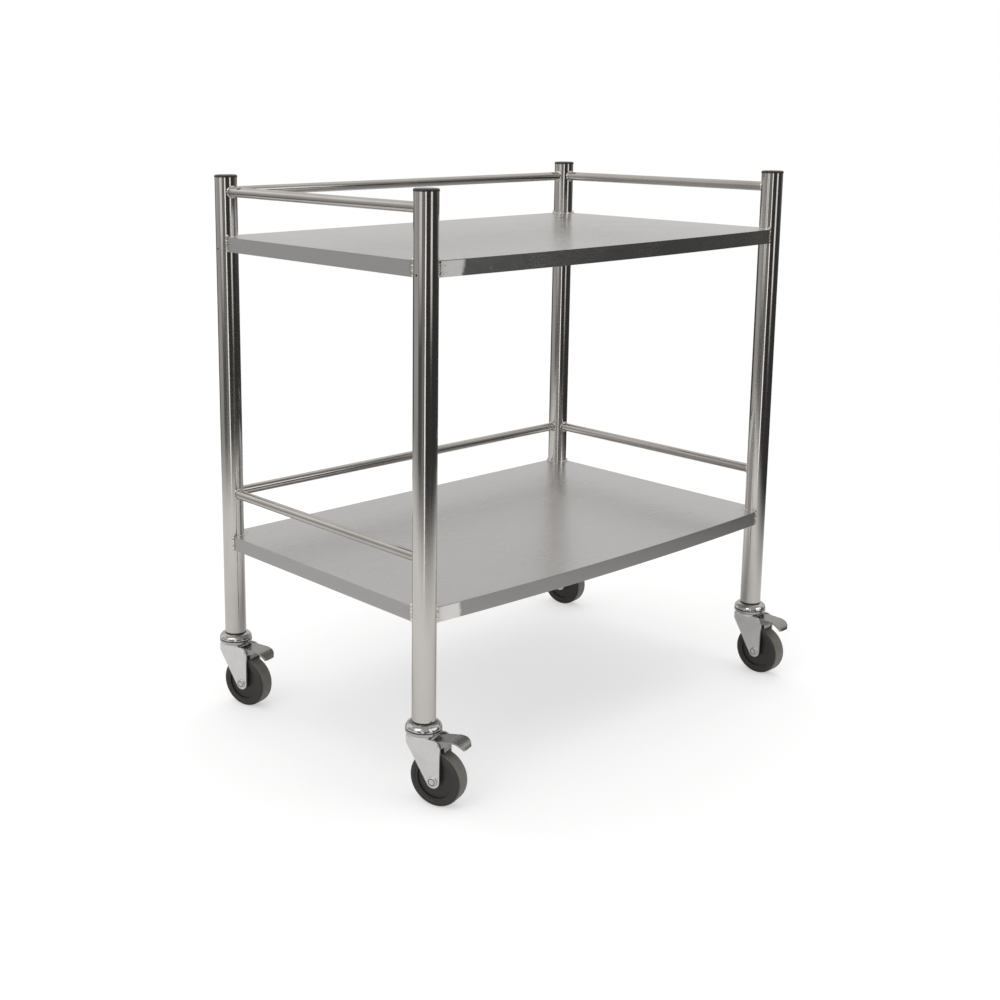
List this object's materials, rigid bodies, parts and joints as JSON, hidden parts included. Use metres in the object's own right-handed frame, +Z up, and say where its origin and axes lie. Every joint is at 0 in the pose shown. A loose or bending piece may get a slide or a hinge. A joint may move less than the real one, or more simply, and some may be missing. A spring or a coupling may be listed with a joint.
{
  "type": "instrument cart",
  "caption": "Two-shelf stainless instrument cart: round posts, turned-down shelves, guard rails on three sides of each, open front, braked swivel castors.",
  "frame": {"origin": "bottom centre of the bounding box, on the floor", "axes": "+X along the long side, +Y to the railed back (the open front faces -Y), +Z up"},
  "size_m": [0.7618, 0.5206, 0.8],
  "materials": {
    "shelf_steel": "brushed No.4 stainless",
    "tube_steel": "polished stainless tube",
    "black_plastic": "satin moulded",
    "bright_chrome": "bright chrome plate",
    "zinc_plate": "bright zinc plate",
    "pedal_plate": "zinc plate, worn",
    "hub_plastic": "dark moulded",
    "grey_rubber": "smooth grey thermoplastic rubber"
  },
  "bodies": {
    "frame": {"top_shelf": "shelf_steel", "lower_shelf": "shelf_steel", "post_caps": "black_plastic", "post_front_left": "tube_steel", "post_back_left": "tube_steel", "post_front_right": "tube_steel", "post_back_right": "tube_steel", "top_rail_left": "tube_steel", "top_rail_right": "tube_steel", "top_rail_back": "tube_steel", "lower_rail_left": "tube_steel", "lower_rail_right": "tube_steel", "lower_rail_back": "tube_steel", "castor_front_left_socket": "black_plastic", "castor_front_left_stem": "zinc_plate", "castor_front_left_cup": "bright_chrome", "castor_front_left_balls": "bright_chrome", "castor_back_left_socket": "black_plastic", "castor_back_left_stem": "zinc_plate", "castor_back_left_cup": "bright_chrome", "castor_back_left_balls": "bright_chrome", "castor_front_right_socket": "black_plastic", "castor_front_right_stem": "zinc_plate", "castor_front_right_cup": "bright_chrome", "castor_front_right_balls": "bright_chrome", "castor_back_right_socket": "black_plastic", "castor_back_right_stem": "zinc_plate", "castor_back_right_cup": "bright_chrome", "castor_back_right_balls": "bright_chrome"},
    "swivel_front_left": {"castor_front_left_fork": "zinc_plate", "castor_front_left_axle": "zinc_plate", "castor_front_left_axle_nut": "zinc_plate", "castor_front_left_brake_pin": "zinc_plate"},
    "wheel_front_left": {"castor_front_left_hub": "hub_plastic", "castor_front_left_tyre": "grey_rubber"},
    "pedal_front_left": {"castor_front_left_pedal": "pedal_plate"},
    "swivel_back_left": {"castor_back_left_fork": "zinc_plate", "castor_back_left_axle": "zinc_plate", "castor_back_left_axle_nut": "zinc_plate", "castor_back_left_brake_pin": "zinc_plate"},
    "wheel_back_left": {"castor_back_left_hub": "hub_plastic", "castor_back_left_tyre": "grey_rubber"},
    "pedal_back_left": {"castor_back_left_pedal": "pedal_plate"},
    "swivel_front_right": {"castor_front_right_fork": "zinc_plate", "castor_front_right_axle": "zinc_plate", "castor_front_right_axle_nut": "zinc_plate", "castor_front_right_brake_pin": "zinc_plate"},
    "wheel_front_right": {"castor_front_right_hub": "hub_plastic", "castor_front_right_tyre": "grey_rubber"},
    "pedal_front_right": {"castor_front_right_pedal": "pedal_plate"},
    "swivel_back_right": {"castor_back_right_fork": "zinc_plate", "castor_back_right_axle": "zinc_plate", "castor_back_right_axle_nut": "zinc_plate", "castor_back_right_brake_pin": "zinc_plate"},
    "wheel_back_right": {"castor_back_right_hub": "hub_plastic", "castor_back_right_tyre": "grey_rubber"},
    "pedal_back_right": {"castor_back_right_pedal": "pedal_plate"}
  },
  "joints": [
    {"name": "swivel_turn_front_left", "type": "hinge", "parent": "frame", "child": "swivel_front_left", "pos_m": [-0.3564, -0.19419, 0.094], "axis": [0, 0, 1], "continuous": true},
    {"name": "wheel_spin_front_left", "type": "hinge", "parent": "swivel_front_left", "child": "wheel_front_left", "pos_m": [-0.34891, -0.21594, 0.0375], "axis": [0.9455, 0.3256, 0], "continuous": true},
    {"name": "brake_press_front_left", "type": "hinge", "parent": "swivel_front_left", "child": "pedal_front_left", "pos_m": [-0.34761, -0.21972, 0.087], "axis": [0.9455, 0.3256, 0], "range_deg": [0, 10]},
    {"name": "swivel_turn_back_left", "type": "hinge", "parent": "frame", "child": "swivel_back_left", "pos_m": [-0.3564, 0.23581, 0.094], "axis": [0, 0, 1], "continuous": true},
    {"name": "wheel_spin_back_left", "type": "hinge", "parent": "swivel_back_left", "child": "wheel_back_left", "pos_m": [-0.35006, 0.2137, 0.0375], "axis": [0.9613, 0.2756, 0], "continuous": true},
    {"name": "brake_press_back_left", "type": "hinge", "parent": "swivel_back_left", "child": "pedal_back_left", "pos_m": [-0.34896, 0.20985, 0.087], "axis": [0.9613, 0.2756, 0], "range_deg": [-10, 0]},
    {"name": "swivel_turn_front_right", "type": "hinge", "parent": "frame", "child": "swivel_front_right", "pos_m": [0.3516, -0.19419, 0.094], "axis": [0, 0, 1], "continuous": true},
    {"name": "wheel_spin_front_right", "type": "hinge", "parent": "swivel_front_right", "child": "wheel_front_right", "pos_m": [0.3522, -0.21719, 0.0375], "axis": [0.9997, 0.0262, 0], "continuous": true},
    {"name": "brake_press_front_right", "type": "hinge", "parent": "swivel_front_right", "child": "pedal_front_right", "pos_m": [0.35231, -0.22118, 0.087], "axis": [0.9997, 0.0262, 0], "range_deg": [-10, 0]},
    {"name": "swivel_turn_back_right", "type": "hinge", "parent": "frame", "child": "swivel_back_right", "pos_m": [0.3516, 0.23581, 0.094], "axis": [0, 0, 1], "continuous": true},
    {"name": "wheel_spin_back_right", "type": "hinge", "parent": "swivel_back_right", "child": "wheel_back_right", "pos_m": [0.3556, 0.21316, 0.0375], "axis": [0.9848, 0.1736, 0], "continuous": true},
    {"name": "brake_press_back_right", "type": "hinge", "parent": "swivel_back_right", "child": "pedal_back_right", "pos_m": [0.35629, 0.20922, 0.087], "axis": [0.9848, 0.1736, 0], "range_deg": [-10, 0]}
  ]
}
